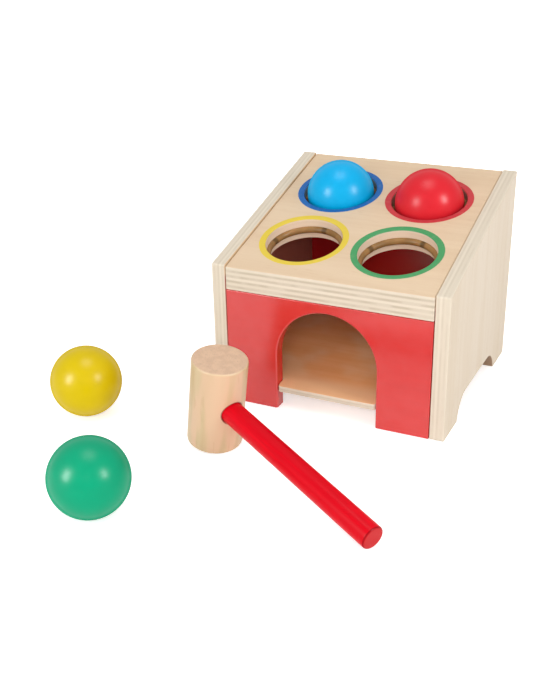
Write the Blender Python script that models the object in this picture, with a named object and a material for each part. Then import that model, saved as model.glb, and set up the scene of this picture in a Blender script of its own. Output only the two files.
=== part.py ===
"""A pounding cube: a wooden toy box with a sloping top, four coloured balls and a hammer.

Units are metres and +Z is up. The arch that the balls roll out of faces -Y. Every piece is
placed in the box's own frame, whose origin lies on the floor under the middle of the box.
One parent empty then moves the whole set, so that the world's origin is at the centre of
the set's footprint.
"""

import math

import bmesh
import bpy
from mathutils import Matrix, Vector

# The box
BOX_WIDTH = 0.1547
BOX_DEPTH = 0.143
SIDE_HEIGHT_FRONT = 0.0928
SIDE_HEIGHT_BACK = 0.1326
SIDE_THICKNESS = 0.0094
PANEL_THICKNESS = 0.0094
BOARD_THICKNESS = 0.0145
BOARD_SINK = 0.001

# The cut-outs at the feet and the arch
FOOT_LENGTH = 0.0278
NOTCH_HEIGHT = 0.0145
NOTCH_RADIUS = 0.018
ARCH_HALF_WIDTH = 0.0333
ARCH_HEIGHT = 0.0705

# The floor, which slopes so that the balls roll out
FLOOR_THICKNESS = 0.0044
FLOOR_FRONT_HEIGHT = 0.0161
FLOOR_SLOPE = math.radians(5)
FLOOR_GROOVE_DEPTH = 0.003

# The holes, as places across and up the sloping board, and their elastic rings
HOLE_RADIUS = 0.0246
HOLE_HALF_SPACING = 0.0312
HOLE_ROWS = (0.0398, 0.1027)
HOLE_RIM = 0.0006
RING_DEPTH = 0.0079
RING_HEIGHT = 0.0044
RING_INNER_RADIUS = 0.0221
RING_SEAT_RADIUS = 0.0273
RING_SEAT_HEIGHT = 0.0052

# The balls: two sit on their rings, two have rolled out
BALL_RADIUS = 0.0225
BALL_SINK = 0.003
YELLOW_BALL_AT = (-0.1419, -0.1252)
GREEN_BALL_AT = (-0.0720, -0.2211)

# The hammer, which leans on the end of its handle
HEAD_RADIUS = 0.0167
HEAD_LENGTH = 0.0565
HANDLE_RADIUS = 0.0069
HANDLE_REACH = 0.1395
HANDLE_BEYOND_AXIS = 0.009
HAMMER_TOE_AT = (-0.0350, -0.1330)
HAMMER_HEADING = math.radians(-27.1)
HAMMER_EASE = 0.0012

# The dowels that pin the board and the panels to the sides
DOWEL_RADIUS = 0.0025
DOWEL_IN_SIDE = 0.006
DOWEL_IN_PANEL = 0.008
DOWEL_CHAMFER = 0.0006
BOARD_DOWEL_STATIONS = (0.025, 0.072, 0.120)
FRONT_DOWEL_HEIGHTS = (0.025, 0.060)
BACK_DOWEL_HEIGHTS = (0.045, 0.095)

# Edges, gaps and facets
OUTER_ROUND = 0.0008
CORNER_ROUND = 0.0011
INNER_ROUND = 0.0006
ARCH_ROUND = 0.0012
TONGUE_ROUND = 0.002
GAP = 0.0003
TURNED_STEPS = 36
HOLE_STEPS = 40
BALL_STEPS = 28
DOWEL_STEPS = 10
ARC_STEPS = 7
ARCH_STEPS = 20
SHARP = math.radians(35)

# Worked out from the above
SLOPE = math.atan((SIDE_HEIGHT_BACK - SIDE_HEIGHT_FRONT) / BOX_DEPTH)
INSIDE_HALF_WIDTH = BOX_WIDTH / 2 - SIDE_THICKNESS
FRONT_Y = -BOX_DEPTH / 2
BACK_Y = BOX_DEPTH / 2
FLOOR_START_Y = FRONT_Y + PANEL_THICKNESS + GAP
FLOOR_END_Y = BACK_Y - PANEL_THICKNESS - GAP
HAMMER_TILT = math.atan(
    (HEAD_LENGTH / 2 - HANDLE_RADIUS) / (HANDLE_REACH - HEAD_RADIUS)
)

# Colours, as linear RGB with roughness
SIDE_WOOD = ((0.80, 0.71, 0.57), 0.6)
BOARD_WOOD = ((0.80, 0.66, 0.48), 0.55)
FLOOR_WOOD = ((0.72, 0.50, 0.30), 0.6)
HEAD_WOOD = ((0.77, 0.54, 0.33), 0.55)
DOWEL_WOOD = ((0.70, 0.52, 0.32), 0.7)
PANEL_RED = ((0.77, 0.08, 0.08), 0.45)
HANDLE_RED = ((0.85, 0.005, 0.012), 0.2)
AMBER = ((0.45, 0.20, 0.06), 0.35)
BALL_COLOURS = {
    "yellow": ((0.80, 0.60, 0.01), 0.15),
    "green": ((0.005, 0.48, 0.26), 0.15),
    "blue": ((0.005, 0.40, 0.86), 0.15),
    "red": ((0.82, 0.03, 0.04), 0.15),
}


def clear_scene():
    for obj in list(bpy.data.objects):
        bpy.data.objects.remove(obj, do_unlink=True)


def material(name, finish):
    colour, roughness = finish
    result = bpy.data.materials.new(name)
    result.use_nodes = True
    shader = result.node_tree.nodes["Principled BSDF"]
    shader.inputs["Base Color"].default_value = (*colour, 1)
    shader.inputs["Roughness"].default_value = roughness
    shader.inputs["Metallic"].default_value = 0
    return result


def piece(name, bm, parent, finish=None, location=(0, 0, 0), rotation=(0, 0, 0)):
    """An object made from a bmesh, with its own material, under its parent."""
    mesh = bpy.data.meshes.new(name)
    bmesh.ops.recalc_face_normals(bm, faces=bm.faces)
    bm.to_mesh(mesh)
    bm.free()
    mesh.shade_smooth()
    mesh.set_sharp_from_angle(angle=SHARP)
    obj = bpy.data.objects.new(name, mesh)
    bpy.context.scene.collection.objects.link(obj)
    obj.parent = parent
    obj.location = location
    obj.rotation_euler = rotation
    if finish:
        mesh.materials.append(material(name, finish))
    return obj


def cutter(name, bm, parent, location=(0, 0, 0), rotation=(0, 0, 0)):
    obj = piece(name, bm, parent, None, location, rotation)
    obj.hide_render = True
    obj.display_type = "WIRE"
    return obj


def cut(target, tool):
    modifier = target.modifiers.new(tool.name, "BOOLEAN")
    modifier.operation = "DIFFERENCE"
    modifier.solver = "EXACT"
    modifier.object = tool


def arc(centre, radius, start, end, steps):
    """Points along a circle, from one angle in degrees to another, both included."""
    angles = (math.radians(start + (end - start) * i / steps) for i in range(steps + 1))
    return [
        (centre[0] + radius * math.cos(a), centre[1] + radius * math.sin(a))
        for a in angles
    ]


def extruded(outline, to_point, along):
    """A plate: the outline's points, placed by to_point, swept along a vector."""
    bm = bmesh.new()
    face = bm.faces.new([bm.verts.new(to_point(*point)) for point in outline])
    swept = bmesh.ops.extrude_face_region(bm, geom=[face])["geom"]
    moved = [item for item in swept if isinstance(item, bmesh.types.BMVert)]
    bmesh.ops.translate(bm, verts=moved, vec=along)
    bmesh.ops.recalc_face_normals(bm, faces=bm.faces)
    return bm


def turned(profile, steps, closed=False):
    """A solid turned about Z from (radius, height) points."""
    bm = bmesh.new()
    verts = [bm.verts.new((radius, 0, height)) for radius, height in profile]
    following = verts[1:] + verts[:1] if closed else verts[1:]
    edges = [bm.edges.new(pair) for pair in zip(verts, following)]
    bmesh.ops.spin(
        bm,
        geom=verts + edges,
        cent=(0, 0, 0),
        axis=(0, 0, 1),
        angle=math.tau,
        steps=steps,
        use_merge=True,
    )
    bmesh.ops.remove_doubles(bm, verts=bm.verts, dist=1e-6)
    return bm


def round_edges(bm, chosen, radius, segments):
    """Bevels the sharp edges for which chosen(edge) is true."""
    edges = [
        edge
        for edge in bm.edges
        if edge.calc_face_angle(0) > SHARP and chosen(edge)
    ]
    bmesh.ops.bevel(
        bm,
        geom=edges,
        offset=radius,
        segments=segments,
        profile=0.5,
        affect="EDGES",
        clamp_overlap=True,
    )


def both_at(edge, axis, value):
    return all(abs(vert.co[axis] - value) < 1e-6 for vert in edge.verts)


def board_point(across, up_slope, depth):
    """The box-frame place of a point of the board, depth below its top face."""
    return Vector(
        (
            across,
            FRONT_Y + up_slope * math.cos(SLOPE) + depth * math.sin(SLOPE),
            SIDE_HEIGHT_FRONT
            - BOARD_SINK
            + up_slope * math.sin(SLOPE)
            - depth * math.cos(SLOPE),
        )
    )


def underside_height(y):
    """The height of the board's underside at a place from front to back."""
    front = SIDE_HEIGHT_FRONT - BOARD_SINK - BOARD_THICKNESS / math.cos(SLOPE)
    return front + (y - FRONT_Y) * math.tan(SLOPE)


def side_outline():
    """The side's (y, z) outline: a sloping top, and two feet with a round-ended notch."""
    lift = NOTCH_HEIGHT - NOTCH_RADIUS
    start = math.asin(-lift / NOTCH_RADIUS)
    reach = NOTCH_RADIUS * math.cos(start)
    start = math.degrees(start)
    front_centre = (FRONT_Y + FOOT_LENGTH + reach, lift)
    back_centre = (BACK_Y - FOOT_LENGTH - reach, lift)
    return [
        (FRONT_Y, 0),
        *arc(front_centre, NOTCH_RADIUS, 180 - start, 90, ARC_STEPS),
        *arc(back_centre, NOTCH_RADIUS, 90, start, ARC_STEPS),
        (BACK_Y, 0),
        (BACK_Y, SIDE_HEIGHT_BACK),
        (FRONT_Y, SIDE_HEIGHT_FRONT),
    ]


def side_panel(name, hand, parent):
    """One plywood side. Its own origin is on its inner face; hand is -1 or 1."""
    outer = hand * SIDE_THICKNESS
    bm = extruded(side_outline(), lambda y, z: (0, y, z), (outer, 0, 0))
    round_edges(
        bm, lambda edge: not (both_at(edge, 0, 0) or both_at(edge, 0, outer)), CORNER_ROUND, 2
    )
    round_edges(bm, lambda edge: both_at(edge, 0, outer), OUTER_ROUND, 3)
    round_edges(bm, lambda edge: both_at(edge, 0, 0), INNER_ROUND, 1)
    return piece(
        name, bm, parent, SIDE_WOOD, location=(hand * INSIDE_HALF_WIDTH, 0, 0)
    )


def top_board(parent):
    """The sloping board, with its front and back edges cut upright."""
    half = INSIDE_HALF_WIDTH - GAP
    length = (BACK_Y - FRONT_Y) / math.cos(SLOPE)
    shift = -BOARD_THICKNESS * math.tan(SLOPE)
    outline = [
        (0, 0),
        (length, 0),
        (length + shift, -BOARD_THICKNESS),
        (shift, -BOARD_THICKNESS),
    ]
    bm = extruded(outline, lambda up, height: (-half, up, height), (2 * half, 0, 0))
    round_edges(bm, lambda edge: True, INNER_ROUND, 2)
    return piece(
        "top_board",
        bm,
        parent,
        BOARD_WOOD,
        location=board_point(0, 0, 0),
        rotation=(SLOPE, 0, 0),
    )


def hole_cutter():
    """A ball hole turned about Z from the board's face down, with its eased rims and ring seat."""
    clear = 0.001
    flare = HOLE_RADIUS + HOLE_RIM + clear
    seat_top = RING_SEAT_HEIGHT / 2 - RING_DEPTH
    seat_bottom = -RING_SEAT_HEIGHT / 2 - RING_DEPTH
    profile = [
        (0, clear),
        (flare, clear),
        (HOLE_RADIUS, -HOLE_RIM),
        (HOLE_RADIUS, seat_top),
        (RING_SEAT_RADIUS, seat_top),
        (RING_SEAT_RADIUS, seat_bottom),
        (HOLE_RADIUS, seat_bottom),
        (HOLE_RADIUS, HOLE_RIM - BOARD_THICKNESS),
        (flare, -BOARD_THICKNESS - clear),
        (0, -BOARD_THICKNESS - clear),
    ]
    return turned(profile, HOLE_STEPS)


def elastic_ring(name, at, parent):
    """A soft ring, round on the side that the ball rests on and flat in its seat."""
    round_radius = RING_HEIGHT / 2
    outer = RING_SEAT_RADIUS - GAP
    profile = [
        (outer, -round_radius),
        (outer, round_radius),
        *arc((RING_INNER_RADIUS + round_radius, 0), round_radius, 90, 270, ARC_STEPS),
    ]
    bm = turned(profile, HOLE_STEPS, closed=True)
    return piece(name, bm, parent, AMBER, location=at, rotation=(SLOPE, 0, 0))


def front_panel(parent):
    """The painted front: two legs under a round arch, cut at the top to meet the board."""
    half = INSIDE_HALF_WIDTH - GAP
    top = underside_height(FRONT_Y) - GAP
    spring = ARCH_HEIGHT - ARCH_HALF_WIDTH
    outline = [
        (half, 0),
        (half, top),
        (-half, top),
        (-half, 0),
        (-ARCH_HALF_WIDTH, 0),
        *arc((0, spring), ARCH_HALF_WIDTH, 180, 0, ARCH_STEPS),
        (ARCH_HALF_WIDTH, 0),
    ]
    bm = extruded(outline, lambda x, z: (x, 0, z), (0, PANEL_THICKNESS, 0))
    slope_back_edge(bm, top)
    on_arch = ARCH_HALF_WIDTH + 1e-6
    round_edges(
        bm,
        lambda edge: all(abs(vert.co.x) < on_arch for vert in edge.verts)
        and (both_at(edge, 1, 0) or both_at(edge, 1, PANEL_THICKNESS)),
        ARCH_ROUND,
        2,
    )
    return piece("front_panel", bm, parent, PANEL_RED, location=(0, FRONT_Y, 0))


def back_panel(parent):
    half = INSIDE_HALF_WIDTH - GAP
    start = BACK_Y - PANEL_THICKNESS
    top = underside_height(start) - GAP
    outline = [(half, 0), (half, top), (-half, top), (-half, 0)]
    bm = extruded(outline, lambda x, z: (x, 0, z), (0, PANEL_THICKNESS, 0))
    slope_back_edge(bm, top)
    round_edges(bm, lambda edge: both_at(edge, 2, 0), INNER_ROUND, 1)
    return piece("back_panel", bm, parent, PANEL_RED, location=(0, start, 0))


def slope_back_edge(bm, top):
    """Raises the back of a panel's top edge, so that it runs along the board's underside."""
    for vert in bm.verts:
        if vert.co.y > PANEL_THICKNESS / 2 and vert.co.z > top - 1e-6:
            vert.co.z += PANEL_THICKNESS * math.tan(SLOPE)


def floor_outline():
    """The floor's (across, back) outline: a plate with a tongue that fills the arch."""
    tongue = ARCH_HALF_WIDTH - GAP
    plate = INSIDE_HALF_WIDTH + FLOOR_GROOVE_DEPTH - GAP
    start = (FLOOR_START_Y - FRONT_Y) / math.cos(FLOOR_SLOPE)
    lean = FLOOR_THICKNESS * math.sin(FLOOR_SLOPE)
    end = (FLOOR_END_Y - FRONT_Y - lean) / math.cos(FLOOR_SLOPE)
    return [
        (-tongue, 0),
        (tongue, 0),
        (tongue, start),
        (plate, start),
        (plate, end),
        (-plate, end),
        (-plate, start),
        (-tongue, start),
    ]


def floor_panel(parent):
    """The thin floor, set in grooves in the sides. Its own origin is its tongue's top edge."""
    bm = extruded(floor_outline(), lambda x, y: (x, y, 0), (0, 0, -FLOOR_THICKNESS))
    round_edges(
        bm,
        lambda edge: both_at(edge, 1, 0) and edge.verts[0].co.x == edge.verts[1].co.x,
        TONGUE_ROUND,
        3,
    )
    round_edges(
        bm,
        lambda edge: all(vert.co.y < TONGUE_ROUND * 1.5 for vert in edge.verts),
        INNER_ROUND,
        2,
    )
    return piece(
        "floor_panel",
        bm,
        parent,
        FLOOR_WOOD,
        location=(0, FRONT_Y, FLOOR_FRONT_HEIGHT),
        rotation=(FLOOR_SLOPE, 0, 0),
    )


def floor_groove_cutter(parent):
    """A slab a little larger than the floor's plate, which cuts its grooves in both sides."""
    half = INSIDE_HALF_WIDTH + FLOOR_GROOVE_DEPTH
    start = (FLOOR_START_Y - GAP - FRONT_Y) / math.cos(FLOOR_SLOPE)
    end = (FLOOR_END_Y + GAP - FRONT_Y) / math.cos(FLOOR_SLOPE)
    outline = [(-half, start), (half, start), (half, end), (-half, end)]
    height = FLOOR_THICKNESS + 2 * GAP
    bm = extruded(outline, lambda x, y: (x, y, GAP), (0, 0, -height))
    return cutter(
        "floor_groove_cutter",
        bm,
        parent,
        location=(0, FRONT_Y, FLOOR_FRONT_HEIGHT),
        rotation=(FLOOR_SLOPE, 0, 0),
    )


def ball(name, at, finish, parent):
    bm = bmesh.new()
    bmesh.ops.create_uvsphere(
        bm, u_segments=BALL_STEPS, v_segments=BALL_STEPS // 2, radius=BALL_RADIUS
    )
    return piece(name, bm, parent, finish, location=at)


def eased_rod(radius, low, high):
    """A turned rod between two heights, with its end edges rounded."""
    ease = HAMMER_EASE
    profile = [
        (0, low),
        *arc((radius - ease, low + ease), ease, 270, 360, 3),
        *arc((radius - ease, high - ease), ease, 0, 90, 3),
        (0, high),
    ]
    return turned(profile, TURNED_STEPS)


def hammer(parent):
    """The hammer, standing on the toe of its head and the end of its handle."""
    ease = HAMMER_EASE
    lift = ease + (HEAD_RADIUS - ease) * math.sin(HAMMER_TILT) - ease * math.cos(HAMMER_TILT)
    heading = Vector((math.cos(HAMMER_HEADING), math.sin(HAMMER_HEADING), 0))
    foot = Vector((*HAMMER_TOE_AT, 0)) - heading * HEAD_RADIUS * math.cos(HAMMER_TILT)
    foot.z = lift
    axes = bpy.data.objects.new("hammer", None)
    bpy.context.scene.collection.objects.link(axes)
    axes.parent = parent
    axes.location = foot
    axes.rotation_euler = (0, HAMMER_TILT, HAMMER_HEADING)
    head = piece("hammer_head", eased_rod(HEAD_RADIUS, 0, HEAD_LENGTH), axes, HEAD_WOOD)
    along_x = Matrix.Rotation(math.pi / 2, 4, "Y")
    middle = (0, 0, HEAD_LENGTH / 2)
    rod = eased_rod(HANDLE_RADIUS, -HANDLE_BEYOND_AXIS, HANDLE_REACH)
    bmesh.ops.transform(rod, matrix=along_x, verts=rod.verts)
    piece("hammer_handle", rod, axes, HANDLE_RED, location=middle)
    bore = bmesh.new()
    depth = HANDLE_BEYOND_AXIS + GAP + 2 * HEAD_RADIUS
    bmesh.ops.create_cone(
        bore,
        cap_ends=True,
        segments=TURNED_STEPS,
        radius1=HANDLE_RADIUS + GAP,
        radius2=HANDLE_RADIUS + GAP,
        depth=depth,
        matrix=Matrix.Translation((depth / 2 - HANDLE_BEYOND_AXIS - GAP, 0, 0)) @ along_x,
    )
    cut(head, cutter("handle_bore_cutter", bore, axes, location=middle))


def dowel_seats():
    """The name and the (y, z) of every dowel pair's axis, which runs along X."""
    seats = []
    for number, station in enumerate(BOARD_DOWEL_STATIONS, 1):
        at = board_point(0, station, BOARD_THICKNESS / 2)
        seats.append((f"board_{number}", at.y, at.z))
    for number, height in enumerate(FRONT_DOWEL_HEIGHTS, 1):
        seats.append((f"front_{number}", FRONT_Y + PANEL_THICKNESS / 2, height))
    for number, height in enumerate(BACK_DOWEL_HEIGHTS, 1):
        seats.append((f"back_{number}", BACK_Y - PANEL_THICKNESS / 2, height))
    return seats


def dowels(parent):
    """A chamfered dowel at each seat, left and right, and one cutter for all their holes."""
    length = DOWEL_IN_PANEL + DOWEL_IN_SIDE
    centre = INSIDE_HALF_WIDTH + (DOWEL_IN_SIDE - DOWEL_IN_PANEL) / 2
    profile = [
        (0, -length / 2),
        (DOWEL_RADIUS - DOWEL_CHAMFER, -length / 2),
        (DOWEL_RADIUS, DOWEL_CHAMFER - length / 2),
        (DOWEL_RADIUS, length / 2 - DOWEL_CHAMFER),
        (DOWEL_RADIUS - DOWEL_CHAMFER, length / 2),
        (0, length / 2),
    ]
    holes = bmesh.new()
    for seat, y, z in dowel_seats():
        for side, hand in (("left", -1), ("right", 1)):
            at = (hand * centre, y, z)
            across = (0, math.pi / 2, 0)
            name = f"dowel_{side}_{seat}"
            piece(name, turned(profile, DOWEL_STEPS), parent, DOWEL_WOOD, at, across)
            bmesh.ops.create_cone(
                holes,
                cap_ends=True,
                segments=DOWEL_STEPS,
                radius1=DOWEL_RADIUS + GAP,
                radius2=DOWEL_RADIUS + GAP,
                depth=length + 2 * GAP,
                matrix=Matrix.Translation(at) @ Matrix.Rotation(math.pi / 2, 4, "Y"),
            )
    return cutter("dowel_hole_cutter", holes, parent)


def footprint_centre():
    """The middle of the whole set on the floor, from the pieces that reach farthest."""
    reach = HANDLE_REACH - HEAD_RADIUS
    lean = math.cos(HAMMER_TILT)
    end_half = HANDLE_RADIUS - HAMMER_EASE
    end_spread = end_half * math.sqrt(1 - (lean * math.cos(HAMMER_HEADING)) ** 2)
    middle_to_toe = math.sin(HAMMER_TILT) * HEAD_LENGTH / 2
    end_x = HAMMER_TOE_AT[0] + (reach * lean + middle_to_toe) * math.cos(HAMMER_HEADING)
    right = max(end_x + end_spread, BOX_WIDTH / 2)
    left = YELLOW_BALL_AT[0] - BALL_RADIUS
    front = GREEN_BALL_AT[1] - BALL_RADIUS
    return Vector(((left + right) / 2, (front + BACK_Y) / 2, 0))


def main():
    clear_scene()
    root = bpy.data.objects.new("pounding_cube", None)
    bpy.context.scene.collection.objects.link(root)
    root.location = -footprint_centre()

    sides = [
        side_panel("left_side_panel", -1, root),
        side_panel("right_side_panel", 1, root),
    ]
    board = top_board(root)
    panels = [front_panel(root), back_panel(root)]
    floor_panel(root)

    groove = floor_groove_cutter(root)
    for side in sides:
        cut(side, groove)
    holes = dowels(root)
    for target in (*sides, board, *panels):
        cut(target, holes)

    near, far = HOLE_ROWS
    places = {
        "yellow": (-HOLE_HALF_SPACING, near),
        "green": (HOLE_HALF_SPACING, near),
        "blue": (-HOLE_HALF_SPACING, far),
        "red": (HOLE_HALF_SPACING, far),
    }
    for colour, (across, up) in places.items():
        mouth = board_point(across, up, 0)
        tool = cutter(f"{colour}_hole_cutter", hole_cutter(), root, mouth, (SLOPE, 0, 0))
        cut(board, tool)
        elastic_ring(f"{colour}_ring", board_point(across, up, RING_DEPTH), root)

    ball_places = {
        "yellow": (*YELLOW_BALL_AT, BALL_RADIUS),
        "green": (*GREEN_BALL_AT, BALL_RADIUS),
        "blue": board_point(*places["blue"], BALL_SINK),
        "red": board_point(*places["red"], BALL_SINK),
    }
    for colour, at in ball_places.items():
        ball(f"{colour}_ball", at, BALL_COLOURS[colour], root)
    hammer(root)


main()
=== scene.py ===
"""The looks of a wooden pounding cube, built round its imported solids.

Each operator makes one piece, or one group of like pieces, in its place in the frame and hides
the plain solid that it stands for. The first one sets up the studio. Lengths are in metres.
"""

import math

import bmesh
import bpy
from bpy.props import FloatProperty, FloatVectorProperty, PointerProperty
from bpy.types import Operator, Panel, PropertyGroup
from mathutils import Euler, Matrix, Vector


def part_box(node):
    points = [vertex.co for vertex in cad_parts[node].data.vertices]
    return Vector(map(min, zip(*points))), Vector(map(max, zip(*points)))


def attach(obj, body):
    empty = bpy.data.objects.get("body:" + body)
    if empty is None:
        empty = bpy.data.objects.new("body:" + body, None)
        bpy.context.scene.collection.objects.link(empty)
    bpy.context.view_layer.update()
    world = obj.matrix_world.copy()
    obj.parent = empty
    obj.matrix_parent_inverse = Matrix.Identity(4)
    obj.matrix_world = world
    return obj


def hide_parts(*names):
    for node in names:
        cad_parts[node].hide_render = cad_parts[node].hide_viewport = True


bl_info = {
    "name": "Pounding cube",
    "version": (1, 0, 0),
    "blender": (4, 5, 0),
    "location": "3D View > Sidebar > Pounding cube",
    "description": "Dresses a wooden pounding cube with its finishes and a studio",
    "category": "Object",
}

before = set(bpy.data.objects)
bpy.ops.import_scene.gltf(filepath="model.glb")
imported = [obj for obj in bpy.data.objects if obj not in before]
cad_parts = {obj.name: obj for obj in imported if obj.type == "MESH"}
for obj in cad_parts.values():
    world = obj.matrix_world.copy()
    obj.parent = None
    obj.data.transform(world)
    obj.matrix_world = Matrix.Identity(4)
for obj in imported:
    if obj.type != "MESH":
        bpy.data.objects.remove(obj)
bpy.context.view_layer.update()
LEFT_LOW, LEFT_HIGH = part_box("left_side_panel")
RIGHT_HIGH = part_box("right_side_panel")[1]
FRONT_LOW, FRONT_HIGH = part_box("front_panel")
BOX_MIDDLE = Vector(((LEFT_LOW.x + RIGHT_HIGH.x) / 2, (LEFT_LOW.y + LEFT_HIGH.y) / 2, 0))
BOX_PLACE = Matrix.Translation(BOX_MIDDLE)
COLOURS = ("yellow", "green", "blue", "red")
FILLED = ("blue", "red")
X_AXIS, Y_AXIS, Z_AXIS = Vector((1, 0, 0)), Vector((0, 1, 0)), Vector((0, 0, 1))
# Lays what stands along Z down along X
LYING = Matrix.Rotation(math.pi / 2, 4, "Y")

# Room between two pieces, and how near counts as the same place, or as on a hole's wall
GAP = 0.0003
TOUCH = 1e-6
NEAR_WALL = 1e-4
# How nearly upright a wall is, by its normal's height
UPRIGHT = 0.01
# The bend past which an edge is sharp, and the facets of whole rounds and arcs
SHARP = math.radians(35)
ROUND_STEPS = 128
DOWEL_STEPS = 32
ARC_STEPS = 24
ARCH_STEPS = 64
# Facets across a rounded edge, from the finest to the fullest
HAIR, FINE, SANDED, EASED, BEAD = 2, 3, 5, 6, 8
# How much of an elastic ring's height its bead takes up
BEAD_SHARE = 0.98
# How far back the floor's tongue is sanded, in rounds of its corners
TONGUE_REACH = 1.5
# What the board's plate has to spare before it is sawn, and how near a cut leaves a vertex
SAW_SPARE = 0.02
SAW_FINE = 1e-7
# The pin mark that a drying rack leaves on a ball
PIN_DEPTH = 0.0003
PIN_SIDE = Vector((-0.35, 0.9, -0.25))
# How far each ring's four dark spots lie turned round its hole, and half the width of a spot
SPOT_TURNS = {"yellow": -10, "green": -23, "blue": 20, "red": 5}
SPOT_EDGE, SPOT_CORE = 0.0027, 0.0008
# Where the heart of the tree lay, from the hammer head's axis
PITH = (0.05, -0.035, 0)
# How closely the wood's rays lie round the heart, per radian, and follow on outwards, per metre
RAYS_ROUND, RAYS_OUT = 170, 420
# Painted shadow round the handle's bore: how far out from the handle it fades in, and where it is
# full
BORE_SHADE_EDGE, BORE_SHADE_CORE = 0.0011, 0.0005
# Each plywood's number of plies, how much they differ, and the seed of its grain
PLYWOOD = {"side": (7, 0.4, 1.0), "board": (9, 1.0, 2.0), "floor": (3, 0.6, 3.0)}
# The heights off the board's face between which the sides' lip gives way to their inside
LIP_END, INSIDE_START = -0.004, -0.008
# Painted shade and ball reflection on a filled hole's wall: the wall colour kept, the ball colour
# added
WALL_SHADE_SHARE, BALL_REFLECTION_SHARE = 0.25, 0.15

# The studio: its floor, which whitens from near the object to far off, and its camera's near limit
STUDIO_RADIUS = 8
SHADOW_NEAR, SHADOW_FAR = 0.22, 0.75
FLOOR_GLOW = 0.56
WHITE = (1.0, 1.0, 1.0)
NEAR_CLIP = 0.01
# What the lamps face, and the place and size of each
LAMP_AIM = Vector((0.02, 0, 0.05))
LAMPS = {
    "key_lamp": ((-0.20, -0.80, 0.46), (0.14, 0.40)),
    "fill_lamp": ((0.36, -0.80, 0.46), (0.35, 0.30)),
    "side_lamp": ((0.94, -0.20, 0.50), (0.15, 0.21)),
    "top_lamp": ((0.03, -0.04, 0.95), (0.4, 0.4)),
}
# Lamps that only gloss shows
GLINTS = {
    "left_glint": ((-0.43, -0.80, 0.38), (0.25, 0.36)),
    "right_glint": ((0.94, -0.20, 0.50), (0.25, 0.34)),
    "top_glint": ((0.03, -0.04, 0.95), (0.4, 0.4)),
}


# Sizes and colours


def length(name, description, default):
    return FloatProperty(
        name=name, description=description, default=default, min=0, unit="LENGTH", precision=4
    )


def angle(name, description, degrees):
    return FloatProperty(
        name=name, description=description, default=math.radians(degrees), unit="ROTATION"
    )


def colour(name, description, default):
    return FloatVectorProperty(
        name=name, description=description, default=default, size=3, min=0, max=1, subtype="COLOR"
    )


def watts(name, description, default):
    return FloatProperty(name=name, description=description, default=default, min=0, unit="POWER")


class BoxSizes(PropertyGroup):
    width: length("Width", "Across both sides", RIGHT_HIGH.x - LEFT_LOW.x)
    depth: length("Depth", "Front to back of a side", LEFT_HIGH.y - LEFT_LOW.y)
    front_height: length("Front height", "Of a side at its front", 0.0928)
    back_height: length("Back height", "Of a side at its back", LEFT_HIGH.z)
    side_thickness: length("Side thickness", "Of the plywood sides", LEFT_HIGH.x - LEFT_LOW.x)
    panel_thickness: length("Panel thickness", "Of the painted panels", FRONT_HIGH.y - FRONT_LOW.y)
    board_thickness: length("Board thickness", "Of the sloping board", 0.0145)
    board_sink: length("Board sink", "From a side's top edge down to the board", 0.001)
    outer_round: length("Outer round", "On the sides' outer edges", 0.0008)
    corner_round: length("Corner round", "On the sides' corners", 0.0011)
    fine_round: length("Fine round", "On the other sanded edges", 0.0006)
    foot_length: length("Foot length", "Of each foot along the floor", 0.0278)
    notch_height: length("Notch height", "Of the cut between the feet", 0.0145)
    notch_radius: length("Notch radius", "Of the cut's round ends", 0.018)
    arch_half_width: length("Arch half width", "From its middle to a jamb", 0.0333)
    arch_height: length("Arch height", "From the floor to its crown", 0.0705)
    arch_round: length("Arch round", "On the arch's two edges", 0.0012)
    panel_round: length("Panel round", "On the painted panels' other edges", 0.0003)
    floor_thickness: length("Floor thickness", "Of the thin floor", 0.0044)
    floor_front: length("Floor height", "Of the floor's front edge", 0.0161)
    floor_slope: angle("Floor slope", "So that balls roll out", 5)
    groove_depth: length("Groove depth", "Of the floor's groove in a side", 0.003)
    tongue_round: length("Tongue round", "On the corners of the floor's tongue", 0.002)
    dowel_radius: length("Dowel radius", "Of the hidden dowels", 0.0025)

    @property
    def inside_half(self):
        return self.width / 2 - self.side_thickness

    @property
    def slope(self):
        return math.atan((self.back_height - self.front_height) / self.depth)

    @property
    def board_place(self):
        """The board's own frame: X across, Y up the slope, Z out of its face."""
        at = BOX_MIDDLE + Vector((0, -self.depth / 2, self.front_height - self.board_sink))
        return Matrix.Translation(at) @ Matrix.Rotation(self.slope, 4, "X")

    @property
    def board_run(self):
        """The board's length up its slope."""
        return self.depth / math.cos(self.slope)

    @property
    def floor_place(self):
        """The floor's own frame, from the middle of its tongue's top edge."""
        at = BOX_MIDDLE + Vector((0, -self.depth / 2, self.floor_front))
        return Matrix.Translation(at) @ Matrix.Rotation(self.floor_slope, 4, "X")


class HoleSizes(PropertyGroup):
    radius: length("Hole radius", "Of the ball holes", 0.0246)
    half_spacing: length("Half spacing", "From the board's middle to a hole", 0.0312)
    near_row: length("Near row", "Up the slope to the front holes", 0.0398)
    far_row: length("Far row", "Up the slope to the back holes", 0.1027)
    ring_depth: length("Ring depth", "From the board's face to a ring's middle", 0.0079)
    ring_height: length("Ring height", "Of the elastic rings", 0.0044)
    ring_inner: length("Ring inner radius", "Of the elastic rings", 0.0221)
    seat_radius: length("Seat radius", "Of the groove that holds a ring", 0.0273)
    seat_height: length("Seat height", "Of the groove that holds a ring", 0.0052)
    paint_radius: length("Paint radius", "Outer radius of the painted rings", 0.0288)

    def places(self):
        """Where each colour's hole is, across and up the board."""
        x, near, far = self.half_spacing, self.near_row, self.far_row
        return dict(zip(COLOURS, ((-x, near), (x, near), (-x, far), (x, far))))


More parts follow.
